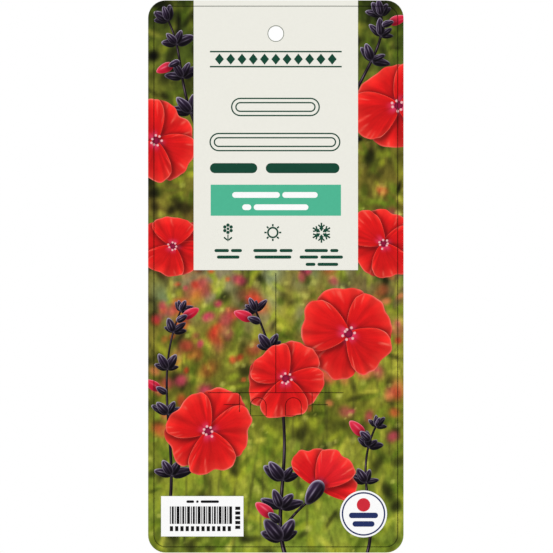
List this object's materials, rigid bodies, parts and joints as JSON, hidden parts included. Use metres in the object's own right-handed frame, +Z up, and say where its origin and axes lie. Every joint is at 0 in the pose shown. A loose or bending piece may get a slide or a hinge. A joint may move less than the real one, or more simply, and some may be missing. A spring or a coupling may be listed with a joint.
{
  "type": "plant label",
  "caption": "Tall rounded plastic plant label, printed on its front, with a hang hole and a die-cut tab that hooks on a pot's rim.",
  "frame": {"origin": "centre of the hang hole, on the back face", "axes": "+Z up along the label's height, the printed front faces -Y, +X to the right seen from the front"},
  "size_m": [0.102, 0.0005, 0.2205],
  "materials": {
    "white_plastic": "satin white sheet",
    "picture_print": "varnished print",
    "panel_print": "varnished cream print",
    "band_print": "varnished green print",
    "red_print": "varnished red print",
    "dark_print": "varnished dark print",
    "white_print": "varnished white print"
  },
  "bodies": {
    "root": {"label_sheet": "white_plastic"}
  },
  "joints": []
}
